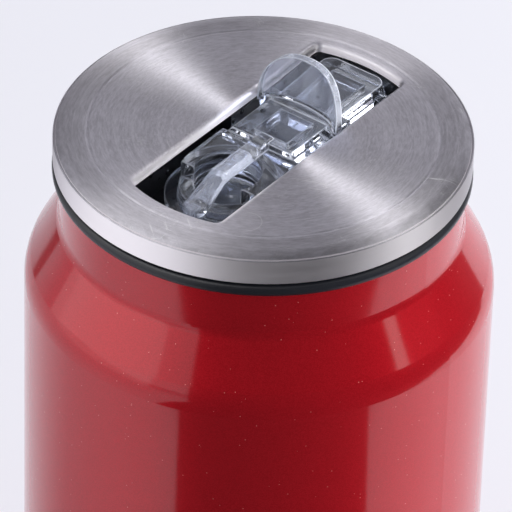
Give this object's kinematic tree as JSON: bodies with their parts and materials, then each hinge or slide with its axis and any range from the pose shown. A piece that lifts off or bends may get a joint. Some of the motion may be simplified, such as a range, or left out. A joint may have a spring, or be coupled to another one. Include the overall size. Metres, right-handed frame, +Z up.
{
  "type": "drinks can mug with slider lid",
  "caption": "Can-shaped insulated steel drinks mug with a shouldered neck and a steel-topped lid whose clear slider opens the drinking slot.",
  "frame": {"origin": "middle of the foot, on the surface the can stands on", "axes": "+Z up the can; the lid's slot runs along Y, with its drinking end toward -Y"},
  "size_m": [0.0702, 0.0702, 0.1527],
  "materials": {
    "red_paint": "glossy metallic red lacquer with fine sparkle",
    "black_plastic": "satin black",
    "brushed_cap": "brushed in circles round the middle",
    "clear_plastic": "clear, polished"
  },
  "bodies": {
    "can": {"can_body": "red_paint", "lid_body": "black_plastic", "lid_cap": "brushed_cap"},
    "slide": {"slider": "clear_plastic"}
  },
  "joints": [
    {"name": "lid_slide", "type": "slide", "parent": "can", "child": "slide", "axis": [0, 1, 0], "range_m": [-0.0055, 0.001]}
  ]
}
